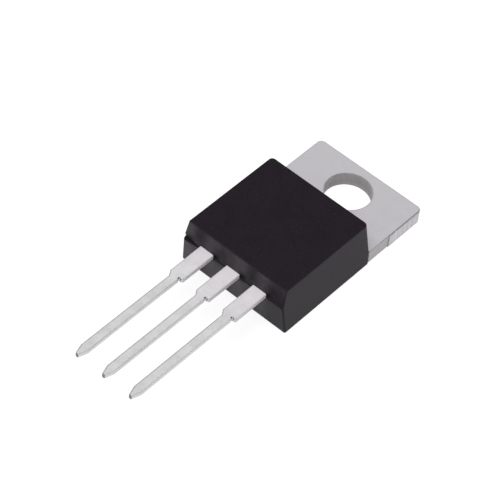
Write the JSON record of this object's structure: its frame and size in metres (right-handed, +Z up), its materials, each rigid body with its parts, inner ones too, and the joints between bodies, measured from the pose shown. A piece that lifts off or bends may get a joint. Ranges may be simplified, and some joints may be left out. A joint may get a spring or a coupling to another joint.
{
  "type": "power transistor",
  "caption": "Power transistor in a moulded epoxy body, with a bare metal mounting tab for a heat sink and straight flat leads for a circuit board.",
  "frame": {"origin": "centre of the mounting hole on the seating face, the bare underside of the tab", "axes": "+X across the tab, from the base lead towards the emitter lead; +Y along the leads towards the tab's free end; +Z up, away from the seating face"},
  "size_m": [0.01, 0.0292, 0.0044],
  "materials": {
    "tinned_copper": "satin tin plate over copper",
    "epoxy_moulding_compound": "matte, fine grained",
    "silicon": "smooth",
    "solder": "dull",
    "aluminium_wire": "smooth"
  },
  "bodies": {
    "root": {"heat_sink_tab": "tinned_copper", "base_lead": "tinned_copper", "emitter_lead": "tinned_copper", "moulded_body": "epoxy_moulding_compound", "die": "silicon", "die_attach_solder": "solder", "base_bond_wire": "aluminium_wire", "emitter_bond_wire_left": "aluminium_wire", "emitter_bond_wire_right": "aluminium_wire"}
  },
  "joints": []
}
